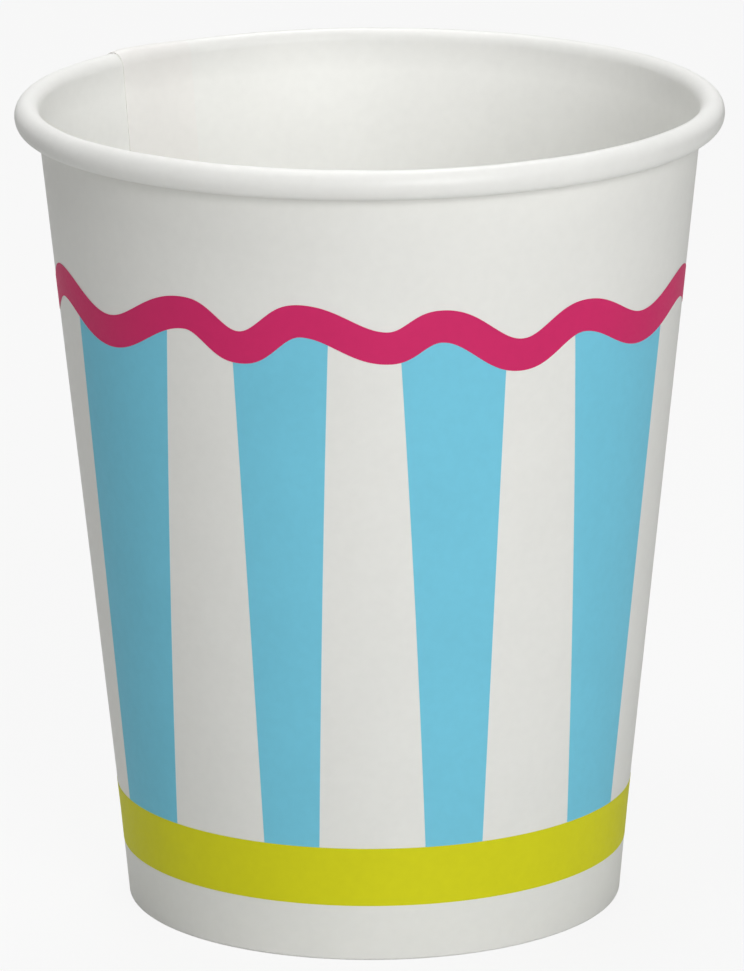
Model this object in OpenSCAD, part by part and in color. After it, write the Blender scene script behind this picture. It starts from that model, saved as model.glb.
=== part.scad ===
// Paper drinking cup: a wrapped and seamed board wall with a rolled rim and a folded foot,
// a raised board floor with a turned-down skirt, and three printed colours on the outside.
// Millimetres, +Z up. The origin is the centre of the foot, on the surface that it stands on.
// An azimuth is an angle about Z: 0 faces the front, which is -Y, and 90 faces +X.

/* [Cup] */
// Height of the cup, from the table to the top of the rim
cup_h = 93; // [84:0.5:110]
// Diameter of the rim over the rolled bead
rim_d = 80; // [79:0.5:82]
// Outer diameter of the wall just under the bead
neck_d = 74.6; // [73:0.2:76]
// Outer diameter of the wall where the pressed foot begins
waist_d = 58.3; // [57.5:0.1:60]
// Outer diameter of the foot at the table
base_d = 56.5; // [55:0.1:57.5]
// Thickness of the wall's board
board_t = 0.35; // [0.25:0.05:0.45]

/* [Rolled rim] */
// Height of the bead
bead_h = 3.4; // [3:0.1:4]
// Room left between the tucked edge of the bead and the wall
tuck_gap = 0.06; // [0.04:0.02:0.2]

/* [Side seam] */
// Azimuth of the middle of the lapped seam
seam_az = 222; // [150:2:250]
// Width of the lap
seam_w = 10.5; // [5:0.5:12]
// Thickness of the glue in the lap
glue_t = 0.02; // [0.01:0.01:0.05]

/* [Floor and foot] */
// Height of the floor's underside above the table
floor_h = 7; // [6:0.5:9]
// Thickness of the floor's board
floor_t = 0.35; // [0.25:0.05:0.45]
// Bend radius at the edge of the floor, outside
floor_bend_r = 1.1; // [0.8:0.1:1.6]
// How far the pressed foot reaches above the floor's underside
foot_over = 3; // [2:0.5:5]
// Height of the hem that is folded up inside the skirt
hem_h = 5.2; // [3:0.1:5.4]
// Rounding at the two edges of the folded foot
fold_r = 0.3; // [0.2:0.05:0.4]
// Clearance between the sealed layers
seal_gap = 0.03; // [0.02:0.01:0.05]

/* [Print] */
// Height of the green band's lower edge
band_low = 6.6; // [4:0.2:8]
// Width of the green band
band_w = 6.9; // [4:0.1:10]
// Depth of the wavy line's middle below the top of the rim
wave_drop = 20.2; // [16:0.2:26]
// Width of the wavy line
wave_w = 3.7; // [2:0.1:5]
// How far the middle of the line swings on the back of the cup, each way
wave_swing = 2; // [1:0.1:3]
// Azimuth that one blue stripe at the back covers, under the line
stripe_top_deg = 14; // [12:0.5:20]
// Azimuth that one blue stripe at the back covers, at the band
stripe_low_deg = 9.5; // [7:0.5:12]
// Thickness of a printed colour
ink_t = 0.1; // [0.08:0.01:0.15]
// Clearance under a printed colour
ink_gap = 0.03; // [0.02:0.01:0.05]
// Hairline between two printed colours
hairline = 0.06; // [0.05:0.01:0.15]

/* [Hidden] */
$fn = 180;

neck_r = neck_d / 2;
waist_r = waist_d / 2;
base_r = base_d / 2;
neck_z = cup_h - bead_h;
foot_h = floor_h + foot_over;

// Lean of the wall and of the foot, as angles from upright
wall_lean = atan((neck_r - waist_r) / (neck_z - foot_h));
foot_lean = atan((waist_r - base_r) / foot_h);

// Outer radius of the wall at a height
function wall_r(z) = z < foot_h
    ? base_r + z * tan(foot_lean)
    : waist_r + (z - foot_h) * tan(wall_lean);

// Radius of a surface that lies a depth inside the outer one
function inset_r(z, depth) = wall_r(z) - depth / cos(z < foot_h ? foot_lean : wall_lean);

// Depths of the layers at the foot, from the outside in
skirt_out = board_t + seal_gap;
skirt_in = skirt_out + floor_t;
hem_out = skirt_in + seal_gap;
hem_in = hem_out + board_t;

// The bead is an ellipse whose inner side runs on from the inside of the wall
bead_b = bead_h / 2;
bead_z = cup_h - bead_b;
bead_room = rim_d / 2 - inset_r(bead_z, board_t);
bead_a = (pow(bead_room, 2) - pow(bead_b * tan(wall_lean), 2)) / (2 * bead_room);
bead_r = rim_d / 2 - bead_a;
curl_start = 180 - atan(bead_b * tan(wall_lean) / bead_a);
curl_end = -168;
curl_steps = 36;
tuck_start = -40;

// How far the curl has drawn in at an angle, so that its edge tucks in beside the wall
function tuck(u) = u > tuck_start ? 0
    : (board_t + tuck_gap) * (1 - cos(180 * (tuck_start - u) / (tuck_start - curl_end))) / 2;

// A point of the curl at an angle, a depth under its skin
function curl_pt(u, depth) = let (d = depth + tuck(u))
    [bead_r + (bead_a - d) * cos(u), bead_z + (bead_b - d) * sin(u)];

// Points of a round corner, between two angles
function corner(r, z, radius, from, to, steps = 8) =
    [for (i = [0 : steps]) let (u = from + (to - from) * i / steps)
        [r + radius * cos(u), z + radius * sin(u)]];

band_top = band_low + band_w;
wave_z = cup_h - wave_drop;
lap_low = fold_r + 0.5;
lap_floor = floor_h + floor_t + seal_gap;
edge_room = 0.1;
reach = rim_d / 2;
press_from = base_r - 3;

// Turns of the wavy line that the front shows, as azimuth and height over the line's middle
wave_front = [[-74, 1.4], [-55, -1.8], [-35, 2.3], [-24, -0.9], [-12.5, 2.6], [3, -0.4],
    [12.5, 1.9], [28, -2.2], [41, 1.1], [58, -2.1], [77, 0.4]];
back_waves = 7;
wave_first = wave_front[0];
wave_last = wave_front[len(wave_front) - 1];
back_pitch = (360 + wave_first.x - wave_last.x) / back_waves;

// The back has even waves, and the last turn is the first one again
wave_turns = concat(wave_front,
    [for (i = [1 : 2 * back_waves - 1])
        [wave_last.x + i * back_pitch / 2, i % 2 == 1 ? -wave_swing : wave_swing]],
    [[wave_first.x + 360, wave_first.y]]);

// Height of the line's middle at an azimuth, with an even swing from each turn to the next
function wave_height(az) =
    let (turn = az < wave_first.x ? az + 360 : az >= wave_first.x + 360 ? az - 360 : az,
         k = max([for (i = [0 : len(wave_turns) - 2]) wave_turns[i].x <= turn ? i : 0]),
         a = wave_turns[k], b = wave_turns[k + 1])
    wave_z + a.y + (b.y - a.y) * (1 - cos(180 * (turn - a.x) / (b.x - a.x))) / 2;
wave_room = max([for (t = wave_turns) abs(t.y)]);

// Half of the line's upright width at an azimuth, so that it is even when measured square
function wave_half(az) =
    let (slope = (wave_height(az + 0.5) - wave_height(az - 0.5)) * 180 / PI / wall_r(wave_z))
    wave_w / 2 * sqrt(1 + slope * slope);

// The line is drawn in short steps around the cup, from the outer free edge of the lap
wave_step = 1.5;
wave_start = seam_az - asin(seam_w / 2 / wall_r(wave_z));
wave_end = seam_az + 360 - asin((seam_w / 2 + edge_room) / wall_r(wave_z));

// Azimuths of the steps that lie between two others, with both ends
function steps_between(from, to) = concat([from],
    [for (i = [ceil((from - wave_start) / wave_step + 0.1)
               : floor((to - wave_start) / wave_step - 0.1)]) wave_start + i * wave_step],
    [to]);

// Stripes that the front shows: left and right azimuth at the line, then at the band
front_stripes = [[-66.5, -39, -70.3, -48.8], [-25.4, -7.6, -24.6, -12], [5.3, 24.8, 11.2, 24.2],
    [39.2, 66.3, 47.5, 65.5]];

// The back's stripes keep clear of the sides that the front shows, and of the lap between them
back_from = 88;
least_space = 9;
lap_half_deg = asin((seam_w / 2 + edge_room) / wall_r(band_top));

// As many stripes as fit, spread evenly from one azimuth to another, with one at each end
function back_group(from, to) =
    let (count = floor((to - from + least_space) / (stripe_top_deg + least_space)),
         pitch = count > 1 ? (to - from - stripe_top_deg) / (count - 1) : 0)
    [for (i = [0 : 1 : count - 1])
        let (mid = from + stripe_top_deg / 2 + i * pitch)
        [mid - stripe_top_deg / 2, mid + stripe_top_deg / 2,
         mid - stripe_low_deg / 2, mid + stripe_low_deg / 2]];
stripes = concat(front_stripes,
    back_group(back_from, seam_az - lap_half_deg),
    back_group(seam_az + lap_half_deg, 360 - back_from));

// Section of the wall, its curl, its fold and its hem
module wall_section() {
    base_out = wall_r(fold_r) - fold_r;
    base_in = inset_r(fold_r, hem_in) + fold_r;
    turns = [for (i = [0 : curl_steps])
        curl_start + (curl_end - curl_start) * i / curl_steps];
    polygon(concat(
        corner(base_out, fold_r, fold_r, -90, 0),
        [[waist_r, foot_h]],
        [for (u = turns) curl_pt(u, board_t)],
        [for (i = [curl_steps : -1 : 0]) curl_pt(turns[i], 0)],
        [[inset_r(foot_h, board_t), foot_h],
         [inset_r(board_t, board_t), board_t],
         [inset_r(board_t, hem_out), board_t],
         [inset_r(hem_h, hem_out), hem_h],
         [inset_r(hem_h, hem_in), hem_h]],
        corner(base_in, fold_r, fold_r, 180, 270)));
}

// Round solid whose side lies a depth inside the outer surface, between two heights
module wall_round(low, high, depth) {
    rotate_extrude()
        polygon([[0, low], [inset_r(low, depth), low], [inset_r(foot_h, depth), foot_h],
                 [inset_r(high, depth), high], [0, high]]);
}

// Upright slab over the lap, from the axis out, with room beside the free edge if asked
module seam_slab(low, high, room = 0) {
    rotate([0, 0, seam_az - 90])
        translate([0, -seam_w / 2 - room, low])
            cube([reach, seam_w + room, high - low]);
}

// A turn about the cone's point, which makes a surface rise by one board across the lap
cone_point = foot_h - waist_r / tan(wall_lean);
lap_turn = atan(tan(wall_lean) * board_t / seam_w);
module seam_turn() {
    rotate([0, 0, seam_az - 90])
        translate([0, 0, cone_point])
            rotate([lap_turn, 0, 0])
                translate([0, 0, -cone_point])
                    children();
}

// How far the outside stands out over the lap, at an azimuth from the line's start to its end
function lap_lift(az, z) = az > 2 * seam_az - wave_start ? 0
    : board_t / 2 + glue_t + board_t * wall_r(z) * sin(seam_az - az) / seam_w;

// The outer end of the wrapped board, which climbs over the inner end
module outer_lap() {
    difference() {
        intersection() {
            seam_turn() wall_round(0, cup_h, -board_t / 2 - glue_t);
            seam_slab(lap_low, neck_z);
        }
        wall_round(0, cup_h, board_t / 2);
    }
}

// The inner end, whose free edge shows inside the cup
module inner_lap() {
    difference() {
        intersection() {
            wall_round(0, cup_h, board_t / 2);
            seam_slab(lap_floor, bead_z);
        }
        seam_turn() wall_round(0, cup_h, 1.5 * board_t + glue_t);
    }
}

// The wall: one blank of board, wrapped, lapped, rolled out at the top and folded in below
module sidewall() {
    color("whitesmoke") {
        rotate_extrude() wall_section();
        outer_lap();
        inner_lap();
    }
}

// The floor: a round blank of board whose edge is turned down into a skirt
module bottom_disc() {
    top = floor_h + floor_t;
    bend_z = top - floor_bend_r;
    bend_r = inset_r(bend_z, skirt_out) - floor_bend_r;
    low = board_t + seal_gap;
    color("white")
        rotate_extrude()
            polygon(concat(
                [[0, floor_h], [0, top]],
                corner(bend_r, bend_z, floor_bend_r, 90, 0),
                [[inset_r(low, skirt_out), low], [inset_r(low, skirt_in), low]],
                corner(bend_r, bend_z, floor_bend_r - floor_t, 0, 90)));
}

// Skin of ink between two heights, which climbs over the lap as the board does
module ink_skin(low, high) {
    difference() {
        ink_ring(low, high);
        seam_slab(low - 1, high + 1, edge_room);
    }
    intersection() {
        seam_turn() ink_ring(low - 1, high + 1, board_t / 2 + glue_t);
        seam_slab(low, high);
    }
}

module ink_ring(low, high, lift = 0) {
    under = -lift - ink_gap;
    over = under - ink_t;
    mid = low < foot_h && high > foot_h ? foot_h : (low + high) / 2;
    rotate_extrude()
        polygon([[inset_r(low, under), low], [inset_r(low, over), low],
                 [inset_r(mid, over), mid], [inset_r(high, over), high],
                 [inset_r(high, under), high], [inset_r(mid, under), mid]]);
}

// Outline that is pressed out through the skin along an azimuth
module pressed_outline(az, points) {
    rotate([0, 0, az - 90])
        translate([press_from, 0, 0])
            rotate([90, 0, 90])
                linear_extrude(height = reach - press_from)
                    polygon(points);
}

// Place of a point of the cup's surface on the plane square to an azimuth
function facing(az, towards, z) = [inset_r(z, -ink_t) * sin(az - towards), z];

// The green band around the foot
module green_band() {
    color([0.78, 0.78, 0.12]) ink_skin(band_low, band_top);
}

// Block that cuts one stripe out of the skin, with its top along the wavy line
module stripe_block(stripe, low) {
    mid = (stripe[0] + stripe[1] + stripe[2] + stripe[3]) / 4;
    across = steps_between(stripe[0], stripe[1]);
    pressed_outline(mid, concat(
        [facing(stripe[2], mid, low), facing(stripe[3], mid, low)],
        [for (i = [len(across) - 1 : -1 : 0])
            let (az = across[i])
            facing(az, mid, wave_height(az) - wave_half(az) - hairline)]));
}

// The blue stripes, which stand on the band and widen up to the wavy line
module blue_stripes() {
    low = band_top + hairline;
    color([0.46, 0.77, 0.87])
        intersection() {
            ink_skin(low, wave_z + wave_room);
            for (stripe = stripes) stripe_block(stripe, low - 1);
        }
}

// Corner of the line's section at an azimuth and a height, at a distance off the board
function line_pt(az, z, off) = let (r = inset_r(z, -off) + lap_lift(az, z))
    [r * sin(az), -r * cos(az), z];

// The wavy line, laid on around the cup from one side of the lap's outer edge to the other
module wavy_line() {
    turns = steps_between(wave_start, wave_end);
    points = [for (az = turns)
        let (low = wave_height(az) - wave_half(az), high = low + 2 * wave_half(az))
        each [line_pt(az, low, ink_gap), line_pt(az, low, ink_gap + ink_t),
              line_pt(az, high, ink_gap + ink_t), line_pt(az, high, ink_gap)]];
    last = len(points) - 4;
    sides = [for (i = [0 : 4 : last - 4], j = [0 : 3])
        let (a = i + j, b = i + (j + 1) % 4)
        each [[a, b, b + 4], [a, b + 4, a + 4]]];
    color([0.78, 0.2, 0.39])
        polyhedron(points, concat([[3, 2, 1, 0]], sides,
            [[last, last + 1, last + 2, last + 3]]));
}

sidewall();
bottom_disc();
green_band();
blue_stripes();
wavy_line();
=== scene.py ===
# A printed paper cup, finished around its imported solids. Metres, +Z up, the front faces -Y.
# An azimuth is an angle about Z: 0 faces the front, and 90 faces +X.
from math import asin, atan, cos, degrees, floor, hypot, radians, sin, tan

import bmesh
import bpy
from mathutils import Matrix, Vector


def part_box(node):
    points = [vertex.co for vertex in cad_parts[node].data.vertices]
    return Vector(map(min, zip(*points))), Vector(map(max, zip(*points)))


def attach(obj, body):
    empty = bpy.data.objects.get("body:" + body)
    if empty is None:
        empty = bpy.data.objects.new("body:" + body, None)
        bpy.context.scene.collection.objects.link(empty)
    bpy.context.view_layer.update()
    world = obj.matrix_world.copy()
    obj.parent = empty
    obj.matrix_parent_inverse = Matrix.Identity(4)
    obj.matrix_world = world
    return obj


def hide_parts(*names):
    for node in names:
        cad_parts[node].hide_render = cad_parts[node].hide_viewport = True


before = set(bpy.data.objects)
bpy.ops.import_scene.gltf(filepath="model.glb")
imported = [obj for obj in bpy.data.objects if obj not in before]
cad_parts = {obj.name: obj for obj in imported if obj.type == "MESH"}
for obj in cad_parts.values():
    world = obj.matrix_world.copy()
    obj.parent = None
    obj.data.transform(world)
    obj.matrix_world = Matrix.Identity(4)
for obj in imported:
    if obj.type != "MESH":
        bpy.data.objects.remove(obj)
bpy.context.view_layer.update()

# Wall: one blank of white cupstock board, with a clay coat outside and a plastic film inside.
# The blank is wrapped to a cone and its two ends are lapped and sealed at the back left. The top
# is rolled outwards, which shows the film side on the bead, and the foot is folded up as a hem.
mm = 0.001
wall_low, wall_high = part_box("sidewall")
cup_h = wall_high.z
rim_r = (wall_high.x - wall_low.x) / 2
neck_r, waist_r, base_r = 37.3 * mm, 29.15 * mm, 28.25 * mm
board_t = 0.35 * mm
bead_h = 3.4 * mm
foot_h = 10 * mm
hem_h = 5.2 * mm
fold_r = 0.3 * mm
layer_gap = 0.03 * mm
tuck_gap = 0.06 * mm
glue_t = 0.02 * mm
seam_az = 222
seam_w = 10.5 * mm

wall_lean = atan((neck_r - waist_r) / (cup_h - bead_h - foot_h))
foot_lean = atan((waist_r - base_r) / foot_h)
hem_depth = 3 * board_t + 2 * layer_gap


def wall_r(z, depth=0.0):
    """Radius of the wall's outside at a height, or of a surface that lies a depth inside it."""
    if z < foot_h:
        return base_r + z * tan(foot_lean) - depth / cos(foot_lean)
    return waist_r + (z - foot_h) * tan(wall_lean) - depth / cos(wall_lean)


def steps(start, end, count):
    """Even steps from one value to another, without the last."""
    return [start + (end - start) * i / count for i in range(count)]


def arc(r, z, radius, start, end, count):
    """Points of a round corner about (r, z), from one angle to another, without the last."""
    return [(r + radius * cos(radians(u)), z + radius * sin(radians(u)))
            for u in steps(start, end, count)]


bead_b = bead_h / 2
bead_z = cup_h - bead_b
bead_room = rim_r - wall_r(bead_z, board_t)
bead_a = (bead_room ** 2 - (bead_b * tan(wall_lean)) ** 2) / (2 * bead_room)
bead_r = rim_r - bead_a
curl_start = 180 - degrees(atan(bead_b * tan(wall_lean) / bead_a))
curl_end = -168
tuck_start = -40


def curl_point(u):
    """Point of the printed side in the curl, which draws in as its edge tucks in by the wall."""
    depth = board_t
    if u < tuck_start:
        share = (tuck_start - u) / (tuck_start - curl_end)
        depth += (board_t + tuck_gap) * (1 - cos(radians(180 * share))) / 2
    return (bead_r + (bead_a - depth) * cos(radians(u)),
            bead_z + (bead_b - depth) * sin(radians(u)))


# The printed side's line, from the hem's free edge round the fold, up the wall and into the curl
curl_steps = 52
hem_rows = 8
line = [(wall_r(z, hem_depth), z) for z in steps(hem_h, fold_r, hem_rows)]
line += arc(wall_r(fold_r, hem_depth) + fold_r, fold_r, fold_r, 180, 270, 6)
line += arc(wall_r(fold_r) - fold_r, fold_r, fold_r, -90, 0, 6)
line += [(wall_r(z), z) for z in steps(fold_r, foot_h, 8)]
line += [(wall_r(z), z) for z in steps(foot_h, curl_point(curl_start)[1], 30)]
line += [curl_point(u) for u in steps(curl_start, curl_end, curl_steps)]
line.append(curl_point(curl_end))


def lap_half(z):
    """Half of the azimuth that the lap covers at a height."""
    return degrees(asin(seam_w / 2 / wall_r(z)))


def place(az, r, z):
    """Point at an azimuth, a radius and a height."""
    return Vector((r * sin(radians(az)), -r * cos(radians(az)), z))


fade_h = 0.9 * mm
lap_press = 0.7
press_start = 0.75


def fold_fade(z):
    """Rises from 0 at the folded foot, which is pressed flat, to 1 just above it."""
    share = min(1, max(0, (z - fold_r) / fade_h))
    return share * share * (3 - 2 * share)


def lap_rise(share, fade=1.0):
    """How far an end of the board stands off at a share of the lap, and how thin it is pressed."""
    pinch = lap_press * fade * max(0, (share - press_start) / (1 - press_start)) ** 2
    return (board_t + glue_t) * share * fade, board_t * (1 - pinch)


def blank_spot(across, row, depth):
    """Place in the wrapped blank: 0 to 1 along its length, a row of its line, and 0 to 1 deep."""
    r, z = line[row]
    before, after = line[max(row - 1, 0)], line[min(row + 1, len(line) - 1)]
    run_r, run_z = after[0] - before[0], after[1] - before[1]
    run = hypot(run_r, run_z)
    half = lap_half(min(z, bead_z))
    if across < lap_share:
        s = across / lap_share
        az = seam_az - half + 2 * half * s
        rise, thick = lap_rise(1 - s, fold_fade(z))
        lift = rise - board_t + thick * (1 - depth)
    elif across <= 1 - lap_share:
        s = (across - lap_share) / (1 - 2 * lap_share)
        az = seam_az + half + (360 - 2 * half) * s
        lift = -depth * board_t
    else:
        s = (across - 1 + lap_share) / lap_share
        az = seam_az - half + 2 * half * s
        rise, thick = lap_rise(s, fold_fade(z))
        pressed = (board_t + glue_t) * (1 - fold_fade(z)) if s > 0 else 0
        lift = -rise - pressed - thick * depth
    return az, r + lift * run_z / run, z - lift * run_r / run


def flat_sheet(across_steps, up_steps):
    """A flat slab of board or ink, 1 long, 1 wide and 1 deep, for a rule to put on the cup."""
    sheet = bmesh.new()
    bmesh.ops.create_grid(sheet, x_segments=across_steps, y_segments=up_steps, size=0.5)
    back = bmesh.ops.solidify(sheet, geom=sheet.faces[:], thickness=1)["geom"]
    back = {face for face in back if isinstance(face, bmesh.types.BMFace)}
    for face in sheet.faces:
        if face in back:
            face.material_index = 1
        elif abs(face.normal.z) < 0.5:
            face.material_index = 2
    return sheet


lap_columns = 12
round_columns = 288
knurl_columns = 4
knurl_deep = 0.22 * mm
roll_wobble = 0.05 * mm
roll_dip = 0.04 * mm
roll_waves = [(0.5, 5, 40), (0.3, 11, 0), (0.2, 23, 0)]
columns = round_columns + 2 * lap_columns
lap_share = lap_columns / columns
bm = flat_sheet(columns, len(line) - 1)
for face in bm.faces:
    # Painted shade: the film side of the lap's inner end is coloured a little darker and pinker, for
    # the light that the double board lets through less
    if face.material_index == 1 and face.calc_center_median().x + 0.5 > 1 - lap_share:
        face.material_index = 3
for vert in bm.verts:
    row = round((vert.co.y + 0.5) * (len(line) - 1))
    az, r, z = blank_spot(vert.co.x + 0.5, row, -vert.co.z)
    if 1 <= row < hem_rows:
        # The tool that seals the hem leaves a row of upright ribs on it
        column = round((vert.co.x + 0.5) * columns)
        r -= knurl_deep * (1 - cos(radians(360 * column / knurl_columns))) / 2
    # A rolled rim is never quite even
    roll = min(1, max(0, (z - bead_z + bead_b) / bead_h)) if row > len(line) - curl_steps else 0
    wobble = sum(size * sin(radians(count * az + turn)) for size, count, turn in roll_waves)
    vert.co = place(az, r + roll_wobble * roll * wobble, z - roll_dip * roll * (wobble + 1))


def finish_mesh(bm, name, *materials):
    """Makes the piece from its bmesh, smooth but for its crisp edges, and lets it ride on the cup."""
    bm.normal_update()
    for face in bm.faces:
        face.smooth = True
    for edge in bm.edges:
        edge.smooth = edge.calc_face_angle(0) < radians(40)
    mesh = bpy.data.meshes.new(name)
    bm.to_mesh(mesh)
    bm.free()
    for material in materials:
        mesh.materials.append(material)
    if len(materials) == 1:
        mesh.polygons.foreach_set("material_index", [0] * len(mesh.polygons))
    piece = bpy.data.objects.new(name, mesh)
    bpy.context.scene.collection.objects.link(piece)
    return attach(piece, "root")


large_cloud_scale, small_cloud_scale, fibre_scale = 110, 900, 2600
fibre_depth = 0.03 * mm
roughness_spread = 0.05
# Heights over which the painted shade on the rolled rim comes in
rim_from, rim_to = cup_h - 1.4 * bead_h, cup_h - 0.4 * bead_h


def board_finish(name, colour, roughness, shine=0.5, mottle=0.02, grain=0.1, rim_shade=1.0):
    """Coated board or ink: soft clouds in its tone, fine flecks, a grain of pressed fibres, and where
    asked a painted shade over the rolled rim.
    """
    material = bpy.data.materials.new(name)
    material.use_nodes = True
    nodes, links = material.node_tree.nodes, material.node_tree.links
    shader = nodes["Principled BSDF"]
    coords = nodes.new("ShaderNodeTexCoord").outputs["Object"]

    def noise(scale, detail):
        node = nodes.new("ShaderNodeTexNoise")
        node.inputs["Scale"].default_value = scale
        node.inputs["Detail"].default_value = detail
        links.new(coords, node.inputs["Vector"])
        return node.outputs["Fac"]

    def spread(value, low, high, start=0.3, end=0.7):
        node = nodes.new("ShaderNodeMapRange")
        node.inputs["From Min"].default_value = start
        node.inputs["From Max"].default_value = end
        node.inputs["To Min"].default_value = low
        node.inputs["To Max"].default_value = high
        links.new(value, node.inputs["Value"])
        return node.outputs["Result"]

    def times(first, second):
        node = nodes.new("ShaderNodeMath")
        node.operation = "MULTIPLY"
        links.new(first, node.inputs[0])
        links.new(second, node.inputs[1])
        return node.outputs["Value"]

    fibres = noise(fibre_scale, 4)
    clouds = times(spread(noise(large_cloud_scale, 2), 1 - mottle, 1),
                   spread(noise(small_cloud_scale, 3), 1 - mottle, 1))
    if rim_shade < 1:
        # Painted shade: the colour darkens by up to a tenth over the rolled rim, so the bead takes
        # less of the light from above
        height = nodes.new("ShaderNodeSeparateXYZ")
        links.new(coords, height.inputs["Vector"])
        clouds = times(clouds, spread(height.outputs["Z"], 1, rim_shade, rim_from, rim_to))
    tone = nodes.new("ShaderNodeVectorMath")
    tone.operation = "SCALE"
    tone.inputs["Vector"].default_value = colour
    links.new(clouds, tone.inputs["Scale"])
    links.new(tone.outputs["Vector"], shader.inputs["Base Color"])
    rough = spread(fibres, roughness - roughness_spread, roughness + roughness_spread)
    links.new(rough, shader.inputs["Roughness"])
    bump = nodes.new("ShaderNodeBump")
    bump.inputs["Strength"].default_value = grain
    bump.inputs["Distance"].default_value = fibre_depth
    links.new(fibres, bump.inputs["Height"])
    links.new(bump.outputs["Normal"], shader.inputs["Normal"])
    shader.inputs["Specular IOR Level"].default_value = shine
    return material


printed_white = board_finish("printed side", (0.87, 0.87, 0.835), 0.5)
# The film side's colour carries a painted shade that darkens it over the rolled rim
film_white = board_finish("film side", (0.95, 0.95, 0.92), 0.4, shine=0.35, grain=0.05,
                          rim_shade=0.9)
cut_edge = board_finish("cut edge", (0.88, 0.87, 0.83), 0.8, mottle=0.06, grain=0.4)
# The lap's film colour, a little darker and pinker than the film side, is painted shade
lap_film_shade = board_finish("film side of the lap, painted shade", (0.953, 0.938, 0.908), 0.4, shine=0.35, grain=0.05,
                        rim_shade=0.9)
wall = finish_mesh(bm, "wrapped_wall", printed_white, film_white, cut_edge, lap_film_shade)
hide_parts("sidewall")

# Floor: a round blank of the same kind of board, film side up, pressed into the wall from below.
# Its edge is turned down as a skirt, which the hem is folded over and sealed to.
floor_h = 7 * mm
floor_t = 0.35 * mm
floor_bend_r = 1.1 * mm
floor_top = floor_h + floor_t
skirt_depth = board_t + layer_gap
skirt_low = board_t + layer_gap
bend_z = floor_top - floor_bend_r
bend_r = wall_r(bend_z, skirt_depth) - floor_bend_r
section = [(r, floor_top) for r in steps(0, bend_r, 24)]
section += arc(bend_r, bend_z, floor_bend_r, 90, 0, 10)
section += [(wall_r(z, skirt_depth), z) for z in steps(bend_z, skirt_low, 6)]
section.append((wall_r(skirt_low, skirt_depth), skirt_low))
bm = bmesh.new()
chain = [bm.verts.new((r, 0, z)) for r, z in section]
chain += [bm.edges.new(pair) for pair in zip(chain, chain[1:])]
bmesh.ops.spin(bm, geom=chain, cent=(0, 0, 0), axis=(0, 0, 1), angle=radians(360), steps=192,
               use_merge=True)
bmesh.ops.remove_doubles(bm, verts=bm.verts[:], dist=0.001 * mm)
bmesh.ops.recalc_face_normals(bm, faces=bm.faces[:])
top_side = set(bm.faces)
shell = bmesh.ops.solidify(bm, geom=bm.faces[:], thickness=floor_t)["geom"]
under_side = {face for face in shell if isinstance(face, bmesh.types.BMFace)}
for face in bm.faces:
    face.material_index = 0 if face in top_side else 1 if face in under_side else 2
floor_film = board_finish("floor film side", (0.95, 0.95, 0.92), 0.4, shine=0.35, grain=0.05)
floor_raw = board_finish("floor underside", (0.84, 0.83, 0.78), 0.6, mottle=0.03, grain=0.2)
disc = finish_mesh(bm, "floor_disc", floor_film, floor_raw, cut_edge)
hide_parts("bottom_disc")

# Green band: one of the three inks, which are printed on the flat blank before it is cut and
# wrapped, so they climb over the lap with the board. The band is the only ink that reaches down to
# the pressed foot, and it is printed over the lower ends of the stripes.
ink_t = 0.015 * mm
ink_layer = 1.2 * ink_t
lap_room = 0.1 * mm
edge_slack = 0.01


def ink_spot(az, z, layer, depth):
    """Place in an ink at an azimuth and a height. Layer 1 lies on the board, and 2 on layer 1."""
    half = lap_half(z)
    turn = max(0, (az - seam_az + half + edge_slack) % 360 - edge_slack)
    rise, thick = lap_rise(1 - turn / (2 * half)) if turn < 2 * half else (0, board_t)
    lift = rise - board_t + thick + layer * ink_layer - depth * ink_t
    return place(az, wall_r(z) + lift / cos(wall_lean), z)


def print_ink(across_steps, up_steps, rule):
    """Thin skin of ink, put on the cup by its rule for a place across, up and deep."""
    sheet = flat_sheet(across_steps, up_steps)
    for vert in sheet.verts:
        vert.co = rule(vert.co.x + 0.5, vert.co.y + 0.5, -vert.co.z)
    return sheet


def free_edge(z, side):
    """Azimuth of the lap's outer edge at a height, on its upper side or just beside it below."""
    if side == "on the lap":
        return seam_az - lap_half(z)
    return seam_az + 360 - degrees(asin((seam_w / 2 + lap_room) / wall_r(z)))


def round_the_cup(share, z):
    """Azimuth at a share of the way round, from the lap's outer edge back to it."""
    start, end = free_edge(z, "on the lap"), free_edge(z, "beside the lap")
    return start + (end - start) * share


band_low, band_w = 6.6 * mm, 6.9 * mm
band_top = band_low + band_w
band_rows = [band_low + (foot_h - band_low) * i / 2 for i in range(3)]
band_rows += [foot_h + (band_top - foot_h) * i / 2 for i in range(1, 3)]


def band_spot(across, up, depth):
    """Rule of the band, which has a row of points at the bend above the pressed foot."""
    z = band_rows[round(up * (len(band_rows) - 1))]
    return ink_spot(round_the_cup(across, z), z, 2, depth)


green_ink = board_finish("green ink", (0.74, 0.725, 0.014), 0.5, shine=0.12, mottle=0.03)
band = finish_mesh(print_ink(288, len(band_rows) - 1, band_spot), "foot_band", green_ink)
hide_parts("green_band")

# Wavy line: magenta ink, a line of even width that swings up and down all round the cup. It is
# printed over the tops of the stripes.
wave_z = cup_h - 20.2 * mm
wave_w = 3.7 * mm
wave_swing = 2
wave_front = [(-74, 1.4), (-55, -1.8), (-35, 2.3), (-24, -0.9), (-12.5, 2.6), (3, -0.4),
              (12.5, 1.9), (28, -2.2), (41, 1.1), (58, -2.1), (77, 0.4)]
back_waves = 7
back_step = (360 + wave_front[0][0] - wave_front[-1][0]) / (2 * back_waves)
wave_turns = wave_front + [(wave_front[-1][0] + i * back_step, wave_swing * (-1) ** i)
                           for i in range(1, 2 * back_waves)]
wave_turns.append((wave_front[0][0] + 360, wave_front[0][1]))


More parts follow.
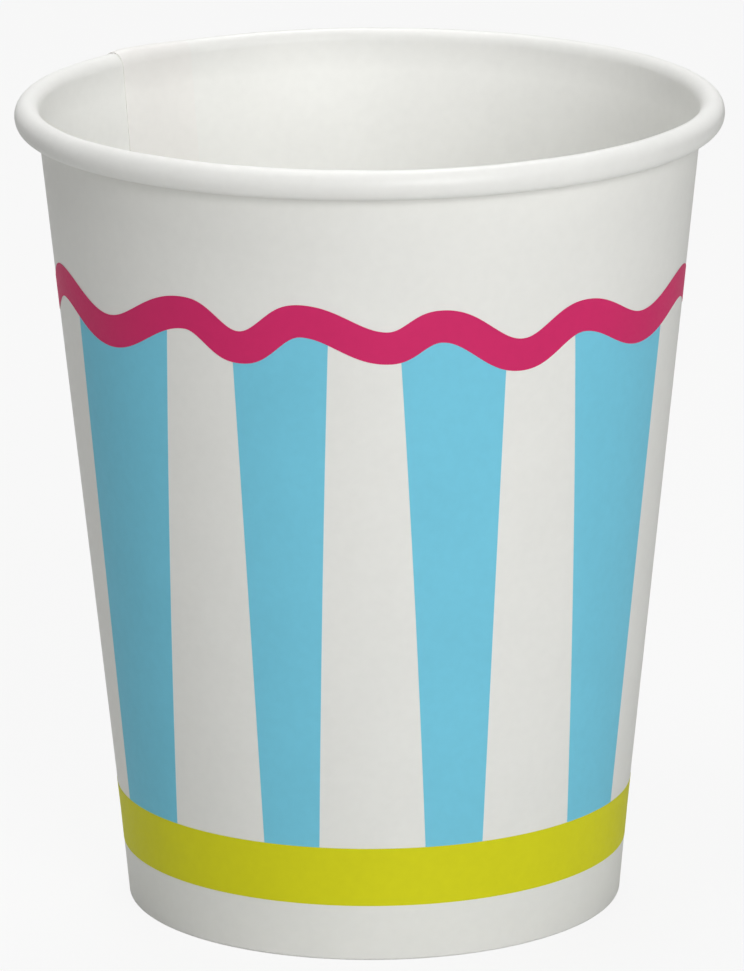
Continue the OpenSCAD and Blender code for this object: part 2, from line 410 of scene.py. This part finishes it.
def wave_height(az):
    """Height of the line's middle, with an even swing from each turn to the next."""
    az = (az - wave_turns[0][0]) % 360 + wave_turns[0][0]
    k = max(i for i in range(len(wave_turns) - 1) if wave_turns[i][0] <= az)
    (left, low), (right, high) = wave_turns[k], wave_turns[k + 1]
    swing = (1 - cos(radians(180 * (az - left) / (right - left)))) / 2
    return wave_z + (low + (high - low) * swing) * mm


def wave_half(az):
    """Half of the line's upright width, so that it is even when it is measured square."""
    slope = (wave_height(az + 0.5) - wave_height(az - 0.5)) / (radians(1) * wall_r(wave_z))
    return wave_w / 2 * hypot(1, slope)


def wave_spot(across, up, depth):
    """Rule of the wavy line, which follows its middle all round the cup."""
    az = round_the_cup(across, wave_z)
    return ink_spot(az, wave_height(az) + (2 * up - 1) * wave_half(az), 2, depth)


magenta_ink = board_finish("magenta ink", (0.68, 0.027, 0.149), 0.5, shine=0.12, mottle=0.03)
wave = finish_mesh(print_ink(720, 4, wave_spot), "scalloped_line", magenta_ink)
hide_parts("wavy_line")

# Blue stripes: light blue ink, printed first, straight on the board. Each stripe is given by its
# left and right azimuth at the line and then at the band.
front_stripes = [(-66.5, -39, -70.3, -48.8), (-25.4, -7.6, -24.6, -12), (5.3, 24.8, 11.2, 24.2),
                 (39.2, 66.3, 47.5, 65.5)]
back_top_deg, back_low_deg = 14, 9.5
back_from = 88
least_space = 9
overprint = 0.3 * mm
lap_clear = degrees(asin((seam_w / 2 + lap_room) / wall_r(band_top)))


def back_group(start, end):
    """As many stripes as fit, spread evenly between two azimuths, with one at each end."""
    count = floor((end - start + least_space) / (back_top_deg + least_space))
    pitch = (end - start - back_top_deg) / max(1, count - 1)
    middles = [start + back_top_deg / 2 + i * pitch for i in range(count)]
    return [(mid - back_top_deg / 2, mid + back_top_deg / 2,
             mid - back_low_deg / 2, mid + back_low_deg / 2) for mid in middles]


stripes = front_stripes + back_group(back_from, seam_az - lap_clear)
stripes += back_group(seam_az + lap_clear, 360 - back_from)


def stripe_rule(top_left, top_right, low_left, low_right):
    """Rule of one stripe, whose ends lie a little way under the line and the band."""
    def spot(across, up, depth):
        az = (low_left + (low_right - low_left) * across) * (1 - up)
        az += (top_left + (top_right - top_left) * across) * up
        top = wave_height(az) - wave_half(az) + overprint
        low = band_top - overprint
        return ink_spot(az, low + (top - low) * up, 1, depth)
    return spot


bm = bmesh.new()
for stripe in stripes:
    sheet = print_ink(28, 24, stripe_rule(*stripe))
    mesh = bpy.data.meshes.new("stripe")
    sheet.to_mesh(mesh)
    sheet.free()
    bm.from_mesh(mesh)
    bpy.data.meshes.remove(mesh)
blue_ink = board_finish("blue ink", (0.20, 0.635, 0.825), 0.5, shine=0.12, mottle=0.03)
stripe_set = finish_mesh(bm, "painted_stripes", blue_ink)
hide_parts("blue_stripes")

# Stage: a pale floor that the cup stands on. The camera sees mostly a plain white there with the
# cup's soft shadow in it, and every other ray sees a matt grey.
table_half = 4
white_share = 0.88
bm = bmesh.new()
bmesh.ops.create_grid(bm, x_segments=1, y_segments=1, size=table_half)
mesh = bpy.data.meshes.new("table")
bm.to_mesh(mesh)
bm.free()
table = bpy.data.objects.new("table", mesh)
bpy.context.scene.collection.objects.link(table)
table_finish = bpy.data.materials.new("pale table")
table_finish.use_nodes = True
nodes, links = table_finish.node_tree.nodes, table_finish.node_tree.links
shader = nodes["Principled BSDF"]
shader.inputs["Base Color"].default_value = (0.58, 0.58, 0.57, 1)
shader.inputs["Roughness"].default_value = 0.9
glow = nodes.new("ShaderNodeEmission")
path = nodes.new("ShaderNodeLightPath")
share = nodes.new("ShaderNodeMath")
share.operation = "MULTIPLY"
share.inputs[1].default_value = white_share
mix = nodes.new("ShaderNodeMixShader")
links.new(path.outputs["Is Camera Ray"], share.inputs[0])
links.new(share.outputs["Value"], mix.inputs["Fac"])
links.new(shader.outputs["BSDF"], mix.inputs[1])
links.new(glow.outputs["Emission"], mix.inputs[2])
links.new(mix.outputs["Shader"], nodes["Material Output"].inputs["Surface"])
mesh.materials.append(table_finish)

# Light: a weak even room, which camera, glossy and transmission rays see as plain white, and five
# soft lamps: the key a little right of the camera, one from behind and one from overhead, which
# light the inside of the cup, and two weak ones that lift its right and its left side.
room_strength = 0.1
world = bpy.data.worlds.new("studio")
bpy.context.scene.world = world
world.use_nodes = True
nodes, links = world.node_tree.nodes, world.node_tree.links
room = nodes["Background"]
room.inputs["Strength"].default_value = room_strength
backdrop = nodes.new("ShaderNodeBackground")
backdrop.inputs["Color"].default_value = (1, 1, 1, 1)
room.inputs["Color"].default_value = (1, 1, 1, 1)
path = nodes.new("ShaderNodeLightPath")
seen = nodes.new("ShaderNodeMath")
seen.operation = "MAXIMUM"
seen_any = nodes.new("ShaderNodeMath")
seen_any.operation = "MAXIMUM"
mix = nodes.new("ShaderNodeMixShader")
links.new(path.outputs["Is Camera Ray"], seen.inputs[0])
links.new(path.outputs["Is Glossy Ray"], seen.inputs[1])
links.new(seen.outputs["Value"], seen_any.inputs[0])
links.new(path.outputs["Is Transmission Ray"], seen_any.inputs[1])
links.new(seen_any.outputs["Value"], mix.inputs["Fac"])
links.new(room.outputs["Background"], mix.inputs[1])
links.new(backdrop.outputs["Background"], mix.inputs[2])
links.new(mix.outputs["Shader"], nodes["World Output"].inputs["Surface"])

# Each lamp's azimuth and height as angles, its distance, width and height in metres, and its watts
middle = Vector((0, 0, cup_h / 2))
lamps = {
    "key": (20, 20, 0.9, 0.4, 0.4, 4.2),
    "right": (40, 35, 0.9, 0.4, 0.4, 0.7),
    "left": (-110, 0, 0.5, 0.3, 0.6, 0.38),
    "back": (180, 60, 0.9, 0.4, 0.4, 3.1),
    "top": (-54, 74, 0.9, 0.4, 0.4, 2.5),
}
for name, (az, height, distance, width, tall, power) in lamps.items():
    data = bpy.data.lights.new(name, "AREA")
    data.shape = "RECTANGLE"
    data.size = width
    data.size_y = tall
    data.energy = power
    lamp = bpy.data.objects.new(name, data)
    bpy.context.scene.collection.objects.link(lamp)
    lamp.location = middle + distance * place(az, cos(radians(height)), sin(radians(height)))
    lamp.rotation_euler = (middle - lamp.location).to_track_quat("-Z", "Y").to_euler()

# Camera: a long lens almost a metre away, which looks down over the rim at about 15 degrees. Its
# place, lens and turns were fitted to the outlines of the cup in the photograph.
camera_data = bpy.data.cameras.new("camera")
camera_data.sensor_width = 36
camera_data.lens = 295.3
camera = bpy.data.objects.new("camera", camera_data)
bpy.context.scene.collection.objects.link(camera)
camera.location = (0, -0.87804, 0.27943)
camera.rotation_euler = (radians(75.211), 0, 0)
camera.rotation_euler.rotate_axis("Z", radians(-0.368))
bpy.context.scene.camera = camera
bpy.context.scene.view_settings.view_transform = "Standard"
